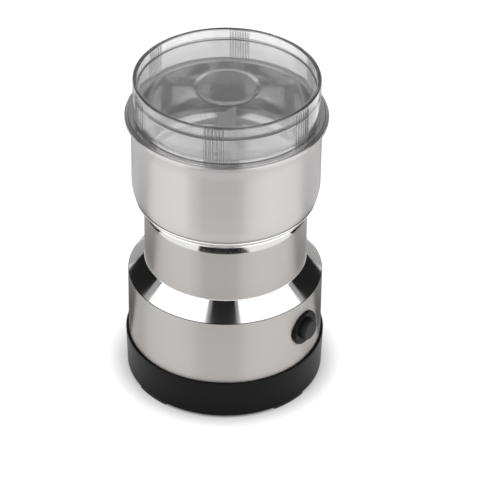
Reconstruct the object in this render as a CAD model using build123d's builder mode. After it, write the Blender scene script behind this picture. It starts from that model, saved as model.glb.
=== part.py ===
# Electric coffee grinder: a steel grinding cup over a waisted motor body, on a black base.
# Lengths are millimetres. The origin is on the grinder's axis, on the table, and +Z is up.
# The front, which faces the user, is -Y. Azimuths are in degrees from the front towards +X.
from build123d import *
import math
import os

os.makedirs("parts", exist_ok=True)

# Heights of the outer pieces, from the table upwards
foot_height = 1.5
base_height = 20.3
body_height = 35.9
shoulder_height = 8.8
neck_height = 27.8
waist_height = 10.2
cup_height = 45.5
bead_height = 1.2
lid_height = 20.0

# Radii of the outer pieces: each follows the neck's
neck_radius = 40.3
shoulder_width = 8.3
base_ledge_width = 1.4
base_draft_width = 0.6
cup_overhang_width = 6.0
lip_width = 3.1
bowl_gap = 4.0
lid_overlap_width = 3.0
body_radius = neck_radius + shoulder_width
base_radius = body_radius + base_ledge_width
cup_radius = neck_radius + cup_overhang_width
lip_radius = cup_radius + lip_width
bowl_radius = cup_radius - bowl_gap
lid_radius = bowl_radius + lid_overlap_width

# Sheet and wall thicknesses
shell_wall = 0.8
bowl_wall = 0.9
lid_wall = 1.5
base_wall = 2.9
floor_wall = 2.4
deck_wall = 2.0

# Clearances between pieces that are made apart and put together
slip_gap = 0.3
snug_gap = 0.1
running_gap = 0.03
screw_gap = 0.05

# Levels worked out from the heights
base_bottom = foot_height
base_top = base_bottom + base_height
shoulder_foot = base_top + body_height
neck_foot = shoulder_foot + shoulder_height
neck_top = neck_foot + neck_height
cup_bottom = neck_top + waist_height
cup_top = cup_bottom + cup_height
bead_top = cup_top + bead_height
lid_top = cup_top + lid_height

# Base: its deck carries the steel body's lower edge, which is held in a groove
groove_depth = 1.9
deck_top = base_top - groove_depth
deck_bottom = deck_top - deck_wall
base_round_radius = 0.4
spigot_height = 4.1
spigot_wall = 1.6
base_floor_top = base_bottom + floor_wall
base_inner_radius = base_radius - base_draft_width - base_wall
deck_width = 12.5
flange_width = 4.1
screw_inset_width = 4.4
deck_radius = base_inner_radius - deck_width
cover_radius = base_inner_radius - flange_width
base_screws_radius = cover_radius - screw_inset_width
screw_boss_radius = 4.0
base_screw_length = 12.0
screw_radius = 1.25
screw_head_radius = 2.6
screw_head_height = 1.6
cross_width = 0.7
cross_depth = 0.8
screw_azimuths = [45, 135, 225, 315]

# Feet: arc pads under the base's edge
foot_azimuths = [42.5, 132.5, 222.5, 312.5]
foot_sweep_angle = 22.0
foot_inset_width = 0.2
foot_width = 6.0
foot_pin_radius = 1.6

# Air slots in the bottom cover
slot_count = 12
slot_length = 15.0
slot_width = 3.0
slot_circle_radius = 22.0

# Shoulder and cup curves
cup_round_radius = 18.0
cup_edge_inset_width = 1.5
cone_inset_width = 0.5
waist_lip_inset_width = 0.1
cup_edge_radius = cup_radius - cup_edge_inset_width
cone_top_radius = cup_edge_radius - cone_inset_width
waist_lip_radius = cup_edge_radius - waist_lip_inset_width
waist_lip_height = 1.0
waist_groove_height = 1.0
waist_wall = 2.7
waist_bore_radius = neck_radius - waist_wall
throat_gap = 0.5

# Cup lip
lip_height = 3.0
lip_round_radius = 1.0
lip_rim_width = 1.7
lip_ledge_width = 1.7
lip_flare_height = 7.0
lip_seat_radius = lip_radius - lip_rim_width
lip_underside_radius = lip_radius - lip_ledge_width

# Bowl
carrier_height = 11.8
bowl_corner_radius = 12.0
bowl_hole_radius = 10.0
bowl_underside = cup_bottom + shell_wall + carrier_height
bowl_floor = bowl_underside + bowl_wall

# Lid
panel_sink_depth = 5.8
panel_wall = 1.6
rim_wall = 2.1
rim_round_radius = 0.5
disc_radius = 16.2
disc_height = 0.7
gate_radius = 0.9
gate_height = 0.4
rib_group_azimuth = -7.7
rib_groups = 6
ribs_in_group = 6
rib_pitch = 1.7
rib_radius = 0.55
rib_inset_height = 0.8

# Motor carrier: the frame between bowl and motor
carrier_flange_height = 4.0
carrier_edge_width = 3.6
drum_inset_width = 4.4
carrier_wall = 3.0
carrier_top_wall = 4.0
post_radius = bowl_hole_radius - slip_gap
post_height = 3.5
sleeve_wall = 5.5
sleeve_length = 13.3
carrier_screw_inset_width = 5.9
sleeve_inset_width = 4.9
carrier_screws_radius = neck_radius - carrier_screw_inset_width
carrier_radius = carrier_screws_radius + carrier_edge_width
carrier_drum_radius = carrier_screws_radius - drum_inset_width
sleeve_radius = carrier_screws_radius - sleeve_inset_width
bolt_circle_radius = sleeve_radius - sleeve_wall / 2
carrier_boss_radius = 3.5
seal_radius = 6.5
seal_depth = 3.0

# Shaft line
shaft_radius = 3.0
shaft_tail_length = 2.0
blade_hub_radius = 5.0
blade_hub_height = 2.2
blade_wall = 1.4
blade_width = 9.0
blade_flat_length = 20.0
blade_tip_length = 15.0
blade_short_length = 8.2
blade_lift_angle = 24.0
nut_radius = 5.0
nut_height = 5.0
nut_cap_wall = 1.2

# Motor
stack_height = 20.0
stack_end_width = 4.25
stack_side_width = 4.2
stack_corner_radius = 12.0
bolt_gap = 3.95
coil_share = 0.245
pole_width = 2.2
rotor_inset_width = 1.7
air_gap = 0.5
coil_outer_radius = bolt_circle_radius - bolt_gap
coil_inner_radius = coil_outer_radius * (1 - coil_share)
rotor_radius = coil_inner_radius - pole_width
stack_width = 2 * (bolt_circle_radius + stack_end_width)
stack_depth = 2 * (coil_outer_radius + stack_side_width)
rotor_slots = 12
slot_bore_share = 0.133
slot_bore = rotor_radius * slot_bore_share
slot_mouth_width = 1.0
winding_gap = 0.2
winding_overhang = 7.5
winding_round_radius = 1.9
winding_outer_radius = rotor_radius - rotor_inset_width
winding_inner_radius = 5.0
coil_half_angle = 66.0
coil_leg_angle = 18.0
window_slack_angle = 1.0
commutator_radius = 8.5
commutator_height = 10.0
commutator_gap = 1.0
commutator_slot = 0.6
fan_inset_width = 6.25
fan_radius = bolt_circle_radius - fan_inset_width
fan_height = 7.0
fan_wall = 1.4
fan_gap = 1.5
fan_hub_radius = 7.0
fan_blades = 9
bracket_wall = 4.0
bracket_width = 15.0
bearing_radius = 6.0
bearing_height = 6.0
upper_boss_height = 7.0
bearing_boss_wall = 2.0
upper_standoff_height = 18.0
lower_standoff_height = 22.0
bolt_radius = 1.5
bolt_head_radius = 2.8
bolt_head_height = 2.2
bolt_grip_length = 8.0
standoff_radius = 3.4

# Brushes
brush_width = 6.2
brush_height = 5.2
brush_length = 11.5
brush_gap = 0.1
holder_wall = 1.2
holder_start_radius = 10.5
holder_length = 17.0
holder_pad_length = 8.5
brush_spring_radius = 2.0
brush_spring_wire = 0.3
brush_spring_turns = 6

# Button on the side of the body
button_azimuth = 54.0
button_drop = 16.0
button_height = body_height - button_drop
button_radius = 5.5
button_proud_height = 4.4
button_round_radius = 1.0
button_travel_length = 2.0
stem_radius = 2.4
bezel_radius = 9.0
bezel_proud_height = 1.3
bezel_round_radius = 0.8
barrel_radius = 7.5
barrel_length = 11.4
barrel_end_wall = 1.2
bezel_nut_radius = 10.3
bezel_nut_wall = 2.6
button_spring_radius = 3.9
button_spring_wire = 0.35
button_spring_turns = 4
button_spring_length = 5.4

# Switch
switch_width = 14.0
switch_height = 10.0
switch_length = 8.5
switch_plate = 1.0
switch_plate_margin = 1.5
plunger_radius = 1.6
plunger_length = 4.5
terminal_width = 4.8
terminal_wall = 0.8
terminal_length = 5.5
terminal_spacing = 5.0
bracket_foot_length = 8.0

# Cord inlet at the back
gland_height = 9.5
gland_radius = 5.0
gland_bore_radius = 3.3
gland_flange_radius = 7.5
gland_flange_wall = 1.2
gland_length = 8.0
gland_nut_wall = 2.0
gland_skin = 1.3


def direction(azimuth):
    "Unit vector that points outwards at this azimuth."
    angle = math.radians(azimuth)
    return Vector(math.sin(angle), -math.cos(angle), 0)


def at_azimuth(radius, azimuth):
    "Point at this radius and azimuth, as plane coordinates."
    out = direction(azimuth)
    return (out.X * radius, out.Y * radius)


def outward_plane(azimuth, radius, height):
    "Plane that faces outwards, its origin at this radius and height."
    out = direction(azimuth)
    return Plane(origin=out * radius + Vector(0, 0, height), x_dir=(-out.Y, out.X, 0), z_dir=out)


def ring_sector(inner, outer, start, sweep):
    "The part of a ring between two radii, from one angle through a sweep."
    with BuildSketch(Plane.XY) as sector:
        with BuildLine():
            near = CenterArc((0, 0), inner, start, sweep)
            far = CenterArc((0, 0), outer, start, sweep)
            Line(near @ 0, far @ 0)
            Line(near @ 1, far @ 1)
        make_face()
    return sector.sketch


def spring(plane, radius, wire, turns, length):
    "A coil spring that stands on the plane, as long as given over its wire."
    pitch = (length - 2 * wire) / turns
    path = plane * Pos(0, 0, wire) * Helix(pitch, pitch * turns, radius)
    with BuildPart() as coil:
        with BuildLine():
            add(path)
        with BuildSketch(Plane(origin=path @ 0, z_dir=path % 0)):
            Circle(wire)
        sweep()
    return coil.part


# Black base ring: a wall with a deck above, a floor flange below and four screw bosses
gland_z = base_bottom + gland_height
wall_bottom_radius = base_radius - base_draft_width
foot_outer_radius = wall_bottom_radius - foot_inset_width
foot_inner_radius = foot_outer_radius - foot_width
groove_outer = body_radius + snug_gap
groove_inner = body_radius - shell_wall - snug_gap
with BuildPart() as base_ring:
    with BuildSketch(Plane.XZ):
        with BuildLine():
            Polyline(
                (cover_radius + slip_gap, base_bottom),
                (wall_bottom_radius, base_bottom),
                (base_radius, base_top),
                (groove_outer, base_top),
                (groove_outer, deck_top),
                (groove_inner, deck_top),
                (groove_inner, deck_top + spigot_height),
                (groove_inner - spigot_wall, deck_top + spigot_height),
                (groove_inner - spigot_wall, deck_top),
                (deck_radius, deck_top),
                (deck_radius, deck_bottom),
                (base_inner_radius, deck_bottom),
                (base_inner_radius, base_floor_top),
                (cover_radius + slip_gap, base_floor_top),
                close=True,
            )
        make_face()
    revolve(axis=Axis.Z)
    fillet(base_ring.edges().filter_by(GeomType.CIRCLE).sort_by(SortBy.RADIUS)[-1:], base_round_radius)
    with BuildSketch(Plane.XY.offset(base_floor_top)):
        with Locations(*[at_azimuth(base_screws_radius, azimuth) for azimuth in screw_azimuths]):
            Circle(screw_boss_radius)
    extrude(amount=deck_bottom - base_floor_top)
    with BuildSketch(Plane.XY.offset(base_floor_top)):
        with Locations(*[at_azimuth(base_screws_radius, azimuth) for azimuth in screw_azimuths]):
            Circle(screw_radius + screw_gap)
    extrude(amount=base_screw_length - floor_wall + screw_head_height, mode=Mode.SUBTRACT)
    foot_pin_circle = (foot_outer_radius + foot_inner_radius) / 2
    with BuildSketch(Plane.XY.offset(base_bottom)):
        with Locations(*[at_azimuth(foot_pin_circle, azimuth) for azimuth in foot_azimuths]):
            Circle(foot_pin_radius + screw_gap)
    extrude(amount=floor_wall, mode=Mode.SUBTRACT)
    with BuildSketch(outward_plane(180, 0, gland_z)):
        Circle(gland_radius + snug_gap)
    extrude(amount=base_radius, mode=Mode.SUBTRACT)
    with BuildSketch(outward_plane(180, base_inner_radius + gland_skin, gland_z)):
        Circle(gland_flange_radius + snug_gap)
    extrude(amount=base_wall + base_draft_width, mode=Mode.SUBTRACT)
base_ring.part.label = "base_ring"
export_step(base_ring.part, "parts/base_ring.step")

# Bottom cover: a plate with air slots, let into the base ring's floor
with BuildPart() as bottom_cover:
    with BuildSketch(Plane.XY.offset(base_bottom)):
        Circle(cover_radius)
        with PolarLocations(slot_circle_radius, slot_count):
            SlotOverall(slot_length, slot_width, mode=Mode.SUBTRACT)
        with Locations(*[at_azimuth(base_screws_radius, azimuth) for azimuth in screw_azimuths]):
            Circle(screw_radius + snug_gap, mode=Mode.SUBTRACT)
    extrude(amount=floor_wall)
    with BuildSketch(Plane.XY.offset(base_bottom)):
        with Locations(*[at_azimuth(base_screws_radius, azimuth) for azimuth in screw_azimuths]):
            Circle(screw_head_radius + snug_gap)
    extrude(amount=screw_head_height, mode=Mode.SUBTRACT)
bottom_cover.part.label = "bottom_cover"
export_step(bottom_cover.part, "parts/bottom_cover.step")


def screws(radius, azimuths, head_z, head_radius, head_height, shank_radius, length):
    "Equal screws that point up, each with its head below head_z and its shank above."
    places = [at_azimuth(radius, azimuth) for azimuth in azimuths]
    with BuildPart() as group:
        with BuildSketch(Plane.XY.offset(head_z - head_height)):
            with Locations(*places):
                Circle(head_radius)
        extrude(amount=head_height)
        with BuildSketch(Plane.XY.offset(head_z)):
            with Locations(*places):
                Circle(shank_radius)
        extrude(amount=length)
        with BuildSketch(Plane.XY.offset(head_z - head_height)):
            with Locations(*places):
                Rectangle(head_radius, cross_width)
                Rectangle(cross_width, head_radius)
        extrude(amount=cross_depth, mode=Mode.SUBTRACT)
    return group.part


# Four screws hold the bottom cover to the bosses
base_screws = screws(base_screws_radius, screw_azimuths, base_bottom + screw_head_height,
                     screw_head_radius, screw_head_height, screw_radius, base_screw_length)
base_screws.label = "base_screws"
export_step(base_screws, "parts/base_screws.step")

# Rubber feet: arc pads, each held by a pin in the base ring's floor
with BuildPart() as rubber_feet:
    with BuildSketch():
        for azimuth in foot_azimuths:
            start = azimuth - 90 - foot_sweep_angle / 2
            add(ring_sector(foot_inner_radius, foot_outer_radius, start, foot_sweep_angle))
    extrude(amount=foot_height)
    with BuildSketch(Plane.XY.offset(foot_height)):
        with Locations(*[at_azimuth(foot_pin_circle, azimuth) for azimuth in foot_azimuths]):
            Circle(foot_pin_radius)
    extrude(amount=floor_wall)
rubber_feet.part.label = "rubber_feet"
export_step(rubber_feet.part, "parts/rubber_feet.step")

# Lower housing: one drawn steel shell, body, sloping shoulder and neck with a flange at its top
button_z = base_top + button_height
throat_radius = sleeve_radius + throat_gap
body_inner = body_radius - shell_wall
neck_inner = neck_radius - shell_wall
carrier_screw_places = [at_azimuth(carrier_screws_radius, azimuth) for azimuth in screw_azimuths]
with BuildPart() as lower_housing:
    with BuildSketch(Plane.XZ):
        with BuildLine():
            Polyline(
                (body_radius, deck_top),
                (body_radius, shoulder_foot),
                (neck_radius, neck_foot),
                (neck_radius, neck_top),
                (throat_radius, neck_top),
                (throat_radius, neck_top - shell_wall),
                (neck_inner, neck_top - shell_wall),
                (neck_inner, neck_foot - shell_wall / 2),
                (body_inner, shoulder_foot - shell_wall / 2),
                (body_inner, deck_top),
                (body_radius, deck_top),
            )
        make_face()
    revolve(axis=Axis.Z)
    with BuildSketch(outward_plane(button_azimuth, neck_radius, button_z)):
        Circle(barrel_radius + snug_gap)
    extrude(amount=base_radius - neck_radius, mode=Mode.SUBTRACT)
    with BuildSketch(Plane.XY.offset(neck_top - shell_wall)):
        with Locations(*carrier_screw_places):
            Circle(bolt_radius + snug_gap)
    extrude(amount=shell_wall, mode=Mode.SUBTRACT)
lower_housing.part.label = "lower_housing"
export_step(lower_housing.part, "parts/lower_housing.step")

# Waist ring: polished, its cone runs from the neck out to a lip under the cup
cone_top = cup_bottom - waist_groove_height - waist_lip_height
with BuildPart() as waist_ring:
    with BuildSketch(Plane.XZ):
        with BuildLine():
            Polyline(
                (neck_radius, neck_top),
                (cone_top_radius, cone_top),
                (waist_lip_radius, cone_top),
                (waist_lip_radius, cone_top + waist_lip_height),
                (cone_top_radius, cone_top + waist_lip_height),
                (cone_top_radius, cup_bottom),
                (waist_bore_radius, cup_bottom),
                (waist_bore_radius, neck_top),
                (neck_radius, neck_top),
            )
        make_face()
    revolve(axis=Axis.Z)
    with BuildSketch(Plane.XY.offset(neck_top)):
        with Locations(*carrier_screw_places):
            Circle(carrier_boss_radius)
    extrude(amount=waist_height)
    with BuildSketch(Plane.XY.offset(neck_top)):
        with Locations(*carrier_screw_places):
            Circle(bolt_radius + snug_gap)
    extrude(amount=waist_height, mode=Mode.SUBTRACT)
waist_ring.part.label = "waist_ring"
export_step(waist_ring.part, "parts/waist_ring.step")

# Upper housing: a steel cup whose wall flares into a rolled lip, with a seat for the bowl's flange
cup_inner = cup_radius - shell_wall
cup_round_rise = math.sqrt(cup_round_radius ** 2 - (cup_round_radius - cup_edge_inset_width) ** 2)
cup_round_top = cup_bottom + cup_round_rise
lip_bottom = cup_top - lip_height
lip_seat = cup_top - bowl_wall
with BuildPart() as upper_housing:
    with BuildSketch(Plane.XZ):
        with BuildLine():
            RadiusArc((cup_edge_radius, cup_bottom), (cup_radius, cup_round_top), -cup_round_radius)
            Line((cup_radius, cup_round_top), (cup_radius, lip_bottom - lip_flare_height))
            TangentArc((cup_radius, lip_bottom - lip_flare_height), (lip_underside_radius, lip_bottom),
                       tangent=(0, 1))
            Line((lip_underside_radius, lip_bottom), (lip_radius - lip_round_radius, lip_bottom))
            CenterArc((lip_radius - lip_round_radius, lip_bottom + lip_round_radius), lip_round_radius,
                      -90, 90)
            Line((lip_radius, lip_bottom + lip_round_radius), (lip_radius, cup_top - lip_round_radius))
            CenterArc((lip_radius - lip_round_radius, cup_top - lip_round_radius), lip_round_radius, 0, 90)
            Polyline(
                (lip_radius - lip_round_radius, cup_top),
                (lip_seat_radius, cup_top),
                (lip_seat_radius, lip_seat),
                (cup_inner, lip_seat),
                (cup_inner, cup_round_top),
            )
            RadiusArc((cup_inner, cup_round_top), (cup_edge_radius - shell_wall, cup_bottom + shell_wall),
                      cup_round_radius)
            Polyline(
                (cup_edge_radius - shell_wall, cup_bottom + shell_wall),
                (throat_radius, cup_bottom + shell_wall),
                (throat_radius, cup_bottom),
                (cup_edge_radius, cup_bottom),
            )
        make_face()
    revolve(axis=Axis.Z)
    with BuildSketch(Plane.XY.offset(cup_bottom)):
        with Locations(*carrier_screw_places):
            Circle(bolt_radius + snug_gap)
    extrude(amount=shell_wall, mode=Mode.SUBTRACT)
upper_housing.part.label = "upper_housing"
export_step(upper_housing.part, "parts/upper_housing.step")

# Grinding bowl: deep drawn, its flange lies in the cup's lip and a low bead round its mouth centres the lid
bowl_outer = bowl_radius + bowl_wall
corner_z = bowl_floor + bowl_corner_radius
with BuildPart() as grinding_bowl:
    with BuildSketch(Plane.XZ):
        with BuildLine():
            Polyline(
                (bowl_hole_radius, bowl_underside),
                (bowl_radius - bowl_corner_radius, bowl_underside),
            )
            CenterArc((bowl_radius - bowl_corner_radius, corner_z), bowl_corner_radius + bowl_wall, -90, 90)
            Polyline(
                (bowl_outer, corner_z),
                (bowl_outer, lip_seat),
                (lip_seat_radius - snug_gap, lip_seat),
                (lip_seat_radius - snug_gap, cup_top),
                (bowl_outer, cup_top),
                (bowl_outer, bead_top - bowl_wall / 2),
            )
            CenterArc((bowl_radius + bowl_wall / 2, bead_top - bowl_wall / 2), bowl_wall / 2, 0, 180)
            Line((bowl_radius, bead_top - bowl_wall / 2), (bowl_radius, corner_z))
            CenterArc((bowl_radius - bowl_corner_radius, corner_z), bowl_corner_radius, 0, -90)
            Polyline(
                (bowl_radius - bowl_corner_radius, bowl_floor),
                (bowl_hole_radius, bowl_floor),
                (bowl_hole_radius, bowl_underside),
            )
        make_face()
    revolve(axis=Axis.Z)
grinding_bowl.part.label = "grinding_bowl"
export_step(grinding_bowl.part, "parts/grinding_bowl.step")

# Lid: a clear moulded cap with a sunk panel, a raised centre disc and groups of grip ribs
panel_top = lid_top - panel_sink_depth
panel_bottom = panel_top - panel_wall
lid_inner = lid_radius - lid_wall
rim_inner = lid_radius - rim_wall
with BuildPart() as lid:
    with BuildSketch(Plane.XZ):
        with BuildLine():
            Polyline(
                (0, panel_bottom),
                (lid_inner, panel_bottom),
                (lid_inner, cup_top),
                (lid_radius, cup_top),
                (lid_radius, lid_top - rim_round_radius),
            )
            CenterArc((lid_radius - rim_round_radius, lid_top - rim_round_radius), rim_round_radius, 0, 90)
            Line((lid_radius - rim_round_radius, lid_top), (rim_inner + rim_round_radius, lid_top))
            CenterArc((rim_inner + rim_round_radius, lid_top - rim_round_radius), rim_round_radius, 90, 90)
            Polyline(
                (rim_inner, lid_top - rim_round_radius),
                (rim_inner, panel_top),
                (disc_radius, panel_top),
                (disc_radius, panel_top + disc_height),
                (gate_radius, panel_top + disc_height),
                (gate_radius, panel_top + disc_height + gate_height),
                (0, panel_top + disc_height + gate_height),
                (0, panel_bottom),
            )
        make_face()
    revolve(axis=Axis.Z)
    rib_step = math.degrees(rib_pitch / lid_radius)
    with BuildSketch(Plane.XY.offset(cup_top + rib_inset_height)):
        for rib in range(ribs_in_group):
            first_rib = rib_group_azimuth - 90 + (rib - (ribs_in_group - 1) / 2) * rib_step
            with PolarLocations(lid_radius, rib_groups, start_angle=first_rib):
                Circle(rib_radius)
    extrude(amount=lid_height - 2 * rib_inset_height)
lid.part.label = "lid"
export_step(lid.part, "parts/lid.step")

# Motor carrier: flange on the cup's floor, drum under the bowl, post through its hole, sleeve to the motor
motor_top = cup_bottom + shell_wall - sleeve_length
flange_bottom = cup_bottom + shell_wall
post_top = bowl_floor + post_height
shaft_bore = shaft_radius + slip_gap
with BuildPart() as motor_carrier:
    with BuildSketch(Plane.XZ):
        with BuildLine():
            Polyline(
                (sleeve_radius - sleeve_wall, motor_top),
                (sleeve_radius, motor_top),
                (sleeve_radius, flange_bottom),
                (carrier_radius, flange_bottom),
                (carrier_radius, flange_bottom + carrier_flange_height),
                (carrier_drum_radius, flange_bottom + carrier_flange_height),
                (carrier_drum_radius, bowl_underside),
                (post_radius, bowl_underside),
                (post_radius, post_top),
                (seal_radius + screw_gap, post_top),
                (seal_radius + screw_gap, post_top - seal_depth),
                (shaft_bore, post_top - seal_depth),
                (shaft_bore, bowl_underside - carrier_top_wall),
                (carrier_drum_radius - carrier_wall, bowl_underside - carrier_top_wall),
                (carrier_drum_radius - carrier_wall, flange_bottom + carrier_flange_height),
                (sleeve_radius - sleeve_wall, flange_bottom + carrier_flange_height),
                close=True,
            )
        make_face()
    revolve(axis=Axis.Z)
    with BuildSketch(Plane.XY.offset(flange_bottom)):
        with Locations(*carrier_screw_places):
            Circle(bolt_radius + screw_gap)
    extrude(amount=carrier_flange_height, mode=Mode.SUBTRACT)
    with BuildSketch(Plane.XY.offset(motor_top)):
        with Locations((bolt_circle_radius, 0), (-bolt_circle_radius, 0)):
            Circle(bolt_radius + screw_gap)
    extrude(amount=bolt_grip_length, mode=Mode.SUBTRACT)
motor_carrier.part.label = "motor_carrier"
export_step(motor_carrier.part, "parts/motor_carrier.step")

# Four screws clamp neck, waist ring and cup to the carrier
carrier_screw_reach = flange_bottom + carrier_flange_height - (neck_top - shell_wall)
carrier_screws = screws(carrier_screws_radius, screw_azimuths, neck_top - shell_wall,
                        bolt_head_radius, bolt_head_height, bolt_radius, carrier_screw_reach)
carrier_screws.label = "carrier_screws"
export_step(carrier_screws, "parts/carrier_screws.step")

# Shaft seal: a rubber ring in the top of the carrier's post
with BuildPart() as shaft_seal:
    with BuildSketch(Plane.XY.offset(post_top - seal_depth)):
        Circle(seal_radius)
        Circle(shaft_radius + running_gap, mode=Mode.SUBTRACT)
    extrude(amount=seal_depth)
shaft_seal.part.label = "shaft_seal"
export_step(shaft_seal.part, "parts/shaft_seal.step")

# Blade hub: a bush pressed on the shaft, under the blade
hub_bottom = post_top + slip_gap
blade_bottom = hub_bottom + blade_hub_height
blade_top = blade_bottom + blade_wall
with BuildPart() as blade_hub:
    with BuildSketch(Plane.XY.offset(hub_bottom)):
        Circle(blade_hub_radius)
        Circle(shaft_radius + running_gap, mode=Mode.SUBTRACT)
    extrude(amount=blade_hub_height)
blade_hub.part.label = "blade_hub"
export_step(blade_hub.part, "parts/blade_hub.step")

# Blade: a flat cross whose four tips are bent up
with BuildPart() as blade:
    with BuildSketch(Plane.XY.offset(blade_bottom)):
        Rectangle(2 * blade_flat_length, blade_width)
        Rectangle(blade_width, 2 * blade_flat_length)
        Circle(blade_width)
    extrude(amount=blade_wall)
    for turn in (0, 90, 180, 270):
        arm = Plane.XY.rotated((0, 0, turn))
        bend = arm.offset(blade_bottom) * Location((blade_flat_length, 0, 0), (0, -blade_lift_angle, 0))
        with BuildSketch(Plane(bend)):
            with BuildLine():
                Polyline(
                    (-blade_wall, -blade_width / 2),
                    (blade_tip_length, -blade_width / 2),
                    (blade_short_length, blade_width / 2),
                    (-blade_wall, blade_width / 2),
                    close=True,
                )
            make_face()
        extrude(amount=blade_wall)
    with BuildSketch(Plane.XY.offset(blade_bottom - blade_wall)):
        Circle(shaft_radius + running_gap)
    extrude(amount=3 * blade_wall, mode=Mode.SUBTRACT)
blade.part.label = "blade"
export_step(blade.part, "parts/blade.step")

# Cap nut on the shaft's threaded end
with BuildPart() as blade_nut:
    with BuildSketch(Plane.XY.offset(blade_top)):
        RegularPolygon(nut_radius, 6)
    extrude(amount=nut_height)
    with BuildSketch(Plane.XY.offset(blade_top)):
        Circle(shaft_radius + running_gap)
    extrude(amount=nut_height - nut_cap_wall, mode=Mode.SUBTRACT)
    fillet(blade_nut.faces().sort_by(Axis.Z)[-1].edges(), nut_cap_wall / 2)
blade_nut.part.label = "blade_nut"
export_step(blade_nut.part, "parts/blade_nut.step")

# Motor levels, hung from the carrier's sleeve
upper_plate_bottom = motor_top - bracket_wall
stack_top = upper_plate_bottom - upper_standoff_height
stack_bottom = stack_top - stack_height
lower_plate_top = stack_bottom - lower_standoff_height
lower_plate_bottom = lower_plate_top - bracket_wall
windings_top = stack_top + winding_overhang
windings_bottom = stack_bottom - winding_overhang
commutator_top = windings_bottom - commutator_gap
commutator_middle = commutator_top - commutator_height / 2
shaft_bottom = lower_plate_bottom - shaft_tail_length
shaft_top = blade_top + nut_height - nut_cap_wall - snug_gap

# Motor shaft
with BuildPart() as motor_shaft:
    with BuildSketch(Plane.XY.offset(shaft_bottom)):
        Circle(shaft_radius)
    extrude(amount=shaft_top - shaft_bottom)
motor_shaft.part.label = "motor_shaft"
export_step(motor_shaft.part, "parts/motor_shaft.step")

# Armature core: laminations with round slots that open at the rim
slot_bore_circle = rotor_radius - slot_bore - slot_mouth_width
with BuildPart() as armature_core:
    with BuildSketch(Plane.XY.offset(stack_bottom)):
        Circle(rotor_radius)
        Circle(shaft_radius + running_gap, mode=Mode.SUBTRACT)
        with PolarLocations(slot_bore_circle, rotor_slots):
            Circle(slot_bore, mode=Mode.SUBTRACT)
        with PolarLocations(rotor_radius - slot_mouth_width, rotor_slots):
            Rectangle(2 * slot_mouth_width + slot_bore, slot_mouth_width, mode=Mode.SUBTRACT)
    extrude(amount=stack_height)
armature_core.part.label = "armature_core"
export_step(armature_core.part, "parts/armature_core.step")

# Armature windings: bars in the slots and a round bundle at each end
with BuildPart() as armature_windings:
    with BuildSketch(Plane.XY.offset(stack_bottom)):
        with PolarLocations(slot_bore_circle, rotor_slots):
            Circle(slot_bore - winding_gap)
    extrude(amount=stack_height)
    with BuildSketch(Plane.XZ):
        bundle_middle = (winding_outer_radius + winding_inner_radius) / 2
        with Locations((bundle_middle, stack_top + winding_overhang / 2),
                       (bundle_middle, stack_bottom - winding_overhang / 2)):
            RectangleRounded(winding_outer_radius - winding_inner_radius, winding_overhang,
                             winding_round_radius)
    revolve(axis=Axis.Z)
armature_windings.part.label = "armature_windings"
export_step(armature_windings.part, "parts/armature_windings.step")

# Commutator: copper bars parted by narrow slots
with BuildPart() as commutator:
    with BuildSketch(Plane.XY.offset(commutator_top - commutator_height)):
        Circle(commutator_radius)
        Circle(shaft_radius + running_gap, mode=Mode.SUBTRACT)
        with PolarLocations(commutator_radius, rotor_slots):
            Rectangle(2 * commutator_slot, commutator_slot, mode=Mode.SUBTRACT)
    extrude(amount=commutator_height)
commutator.part.label = "commutator"
export_step(commutator.part, "parts/commutator.step")

# Cooling fan: radial blades on a disc, fixed to the shaft above the windings
fan_bottom = windings_top + fan_gap
with BuildPart() as cooling_fan:
    with BuildSketch(Plane.XY.offset(fan_bottom)):
        Circle(fan_radius)
    extrude(amount=fan_wall)
    with BuildSketch(Plane.XY.offset(fan_bottom)):
        with PolarLocations((fan_radius + fan_hub_radius) / 2 - fan_wall, fan_blades):
            Rectangle(fan_radius - fan_hub_radius, fan_wall)
    extrude(amount=fan_height)
    with BuildSketch(Plane.XY.offset(fan_bottom)):
        Circle(fan_hub_radius)
    extrude(amount=fan_height)
    with BuildSketch(Plane.XY.offset(fan_bottom)):
        Circle(shaft_radius + running_gap)
    extrude(amount=fan_height, mode=Mode.SUBTRACT)
cooling_fan.part.label = "cooling_fan"
export_step(cooling_fan.part, "parts/cooling_fan.step")

# Field stack: stator laminations with windows for the coils' legs
window_angles = [coil_half_angle - coil_leg_angle, 180 - coil_half_angle,
                 180 + coil_half_angle - coil_leg_angle, 360 - coil_half_angle]
with BuildPart() as field_stack:
    with BuildSketch(Plane.XY.offset(stack_bottom)):
        RectangleRounded(stack_width, stack_depth, stack_corner_radius)
        Circle(rotor_radius + air_gap, mode=Mode.SUBTRACT)
        with Locations((bolt_circle_radius, 0), (-bolt_circle_radius, 0)):
            Circle(bolt_radius + snug_gap, mode=Mode.SUBTRACT)
        for start in window_angles:
            add(ring_sector(coil_inner_radius - snug_gap, coil_outer_radius + snug_gap,
                            start - window_slack_angle, coil_leg_angle + 2 * window_slack_angle),
                mode=Mode.SUBTRACT)
    extrude(amount=stack_height)
field_stack.part.label = "field_stack"
export_step(field_stack.part, "parts/field_stack.step")

# Field coils: one round each pole, with legs through the windows and ends above and below
with BuildPart() as field_coils:
    for level in (stack_top, stack_bottom - winding_overhang):
        with BuildSketch(Plane.XY.offset(level)):
            for start in (-coil_half_angle, 180 - coil_half_angle):
                add(ring_sector(coil_inner_radius, coil_outer_radius, start, 2 * coil_half_angle))
        extrude(amount=winding_overhang)
    with BuildSketch(Plane.XY.offset(stack_bottom)):
        for start in window_angles:
            add(ring_sector(coil_inner_radius, coil_outer_radius, start, coil_leg_angle))
    extrude(amount=stack_height)
field_coils.part.label = "field_coils"
export_step(field_coils.part, "parts/field_coils.step")

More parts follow.
